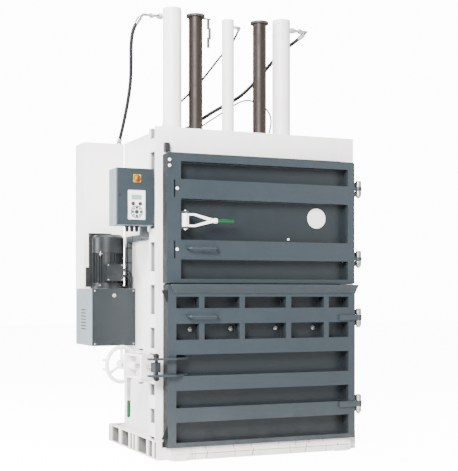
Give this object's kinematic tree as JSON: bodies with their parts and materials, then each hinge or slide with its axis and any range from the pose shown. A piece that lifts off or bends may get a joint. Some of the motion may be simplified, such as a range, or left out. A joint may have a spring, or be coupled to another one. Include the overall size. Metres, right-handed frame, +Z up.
{
  "type": "recycling baler",
  "caption": "Upright recycling baler: hydraulic platen over a steel chamber with an upper and a lower side-hinged door, screw lock, control cabinet and power pack.",
  "frame": {"origin": "on the floor, straight under the axis of the centre cylinder", "axes": "+X to the right along the front, +Y to the back, +Z up; the doors face -Y"},
  "size_m": [1.6929, 1.302, 2.985],
  "materials": {
    "white_paint": "semi-gloss powder coat",
    "grey_paint": "satin powder coat",
    "pale_grey_paint": "satin powder coat",
    "column_brown": "oiled, bright along its length",
    "dark_cap": "matt",
    "bright_steel": "zinc plated",
    "rod_chrome": "polished",
    "black_rubber": "satin",
    "green_plastic": "gloss",
    "motor_grey": "painted casting",
    "white_plastic": "satin film",
    "key_grey": "soft touch",
    "yellow_plastic": "satin",
    "red_plastic": "gloss",
    "black_plastic": "satin",
    "wheel_white": "gloss"
  },
  "bodies": {
    "frame": {"base_frame": "white_paint", "chamber_walls": "white_paint", "front_posts": "white_paint", "front_header": "white_paint", "top_deck": "white_paint", "guide_bushes": "bright_steel", "press_cylinders": "white_paint", "hinge_brackets": "bright_steel", "lock_bracket": "white_paint", "door_switch": "black_plastic", "control_cabinet": "pale_grey_paint", "power_housing": "pale_grey_paint", "oil_tank": "grey_paint", "oil_pump": "motor_grey", "power_cover": "white_paint", "motor_body": "motor_grey", "fan_cowl": "motor_grey", "terminal_box": "motor_grey", "cable_glands": "black_plastic", "cable_duct": "black_plastic", "hose_manifold": "bright_steel", "left_hose": "black_rubber", "centre_hose": "black_rubber", "right_hose": "black_rubber", "thin_hose": "black_rubber", "motor_cables": "black_rubber", "hose_fittings": "bright_steel"},
    "platen": {"press_platen": "grey_paint", "piston_rods": "rod_chrome", "guide_columns": "column_brown", "guide_caps": "dark_cap", "switch_flag": "bright_steel"},
    "ejector": {"ejector_plate": "grey_paint"},
    "upper_leaf": {"upper_door": "grey_paint", "upper_hinge_arms": "grey_paint", "upper_grab_bow": "grey_paint"},
    "latch": {"latch_lever": "white_paint", "latch_grip": "green_plastic"},
    "lower_leaf": {"lower_door": "grey_paint", "lower_hinge_arms": "grey_paint", "lower_grab_bow": "grey_paint", "lock_lugs": "grey_paint", "lock_pin": "bright_steel"},
    "trunnion": {"lock_trunnion": "bright_steel"},
    "lock_swivel": {"lock_housing": "white_paint"},
    "wheel": {"handwheel": "wheel_white", "lock_spindle": "bright_steel"},
    "hanging_lever": {"lock_lever": "bright_steel", "lock_lever_grip": "green_plastic"},
    "cabinet_door": {"control_door": "grey_paint", "keypad_panel": "white_plastic", "switch_plate": "yellow_plastic"},
    "key_left": {"left_key": "key_grey"},
    "key_right": {"right_key": "key_grey"},
    "key_direction": {"direction_key": "key_grey"},
    "key_centre": {"centre_key": "key_grey"},
    "knob": {"switch_knob": "red_plastic"},
    "pack_door": {"power_door": "grey_paint"},
    "pack_lock": {"power_lock": "bright_steel"},
    "fan": {"motor_fan": "black_plastic"}
  },
  "joints": [
    {"name": "platen_slide", "type": "slide", "parent": "frame", "child": "platen", "axis": [0, 0, 1], "range_m": [-0.75, 0]},
    {"name": "ejector_tip", "type": "hinge", "parent": "frame", "child": "ejector", "pos_m": [0, -0.463, 0.1275], "axis": [-1, 0, 0], "range_deg": [-50, 0]},
    {"name": "upper_door_swing", "type": "hinge", "parent": "frame", "child": "upper_leaf", "pos_m": [0.7, -0.59, 1.51], "axis": [0, 0, 1], "range_deg": [0, 110]},
    {"name": "latch_turn", "type": "hinge", "parent": "upper_leaf", "child": "latch", "pos_m": [-0.555, -0.622, 1.502], "axis": [0, 0, -1], "range_deg": [0, 100]},
    {"name": "lower_door_swing", "type": "hinge", "parent": "frame", "child": "lower_leaf", "pos_m": [0.7, -0.59, 0.6], "axis": [0, 0, 1], "range_deg": [0, 110]},
    {"name": "trunnion_turn", "type": "hinge", "parent": "lower_leaf", "child": "trunnion", "pos_m": [-0.736, -0.595, 0.587], "axis": [0, 0, 1], "range_deg": [-20, 20]},
    {"name": "lock_swing", "type": "hinge", "parent": "frame", "child": "lock_swivel", "pos_m": [-0.7826, -0.43672, 0.587], "axis": [0, 0, 1], "range_deg": [-20, 8]},
    {"name": "handwheel_turn", "type": "hinge", "parent": "lock_swivel", "child": "wheel", "pos_m": [-0.736, -0.595, 0.587], "axis": [-0.2824, 0.9593, 0], "continuous": true},
    {"name": "hanging_lever_swing", "type": "hinge", "parent": "lock_swivel", "child": "hanging_lever", "pos_m": [-0.82129, -0.30529, 0.525], "axis": [-0.2824, 0.9593, 0], "range_deg": [-28, 40]},
    {"name": "cabinet_door_swing", "type": "hinge", "parent": "frame", "child": "cabinet_door", "pos_m": [-0.717, -0.492, 1.65], "axis": [0, 0, 1], "range_deg": [0, 90]},
    {"name": "left_key_press", "type": "slide", "parent": "cabinet_door", "child": "key_left", "axis": [0, 1, 0], "range_m": [0, 0.001], "stiffness_N_per_m": 400},
    {"name": "right_key_press", "type": "slide", "parent": "cabinet_door", "child": "key_right", "axis": [0, 1, 0], "range_m": [0, 0.001], "stiffness_N_per_m": 400},
    {"name": "direction_key_press", "type": "slide", "parent": "cabinet_door", "child": "key_direction", "axis": [0, 1, 0], "range_m": [0, 0.001], "stiffness_N_per_m": 400},
    {"name": "centre_key_press", "type": "slide", "parent": "cabinet_door", "child": "key_centre", "axis": [0, 1, 0], "range_m": [0, 0.001], "stiffness_N_per_m": 400},
    {"name": "main_switch_turn", "type": "hinge", "parent": "cabinet_door", "child": "knob", "pos_m": [-0.829, -0.51, 1.762], "axis": [0, 1, 0], "range_deg": [0, 90]},
    {"name": "pack_door_swing", "type": "hinge", "parent": "frame", "child": "pack_door", "pos_m": [-0.622, 0.1705, 0.883], "axis": [0, 0, 1], "range_deg": [0, 82]},
    {"name": "pack_lock_turn", "type": "hinge", "parent": "pack_door", "child": "pack_lock", "pos_m": [-0.774, 0.17, 1.032], "axis": [0, 1, 0], "range_deg": [0, 90]},
    {"name": "fan_turn", "type": "hinge", "parent": "frame", "child": "fan", "pos_m": [-0.774, 0.305, 1.4], "axis": [0, 0, 1], "continuous": true}
  ]
}
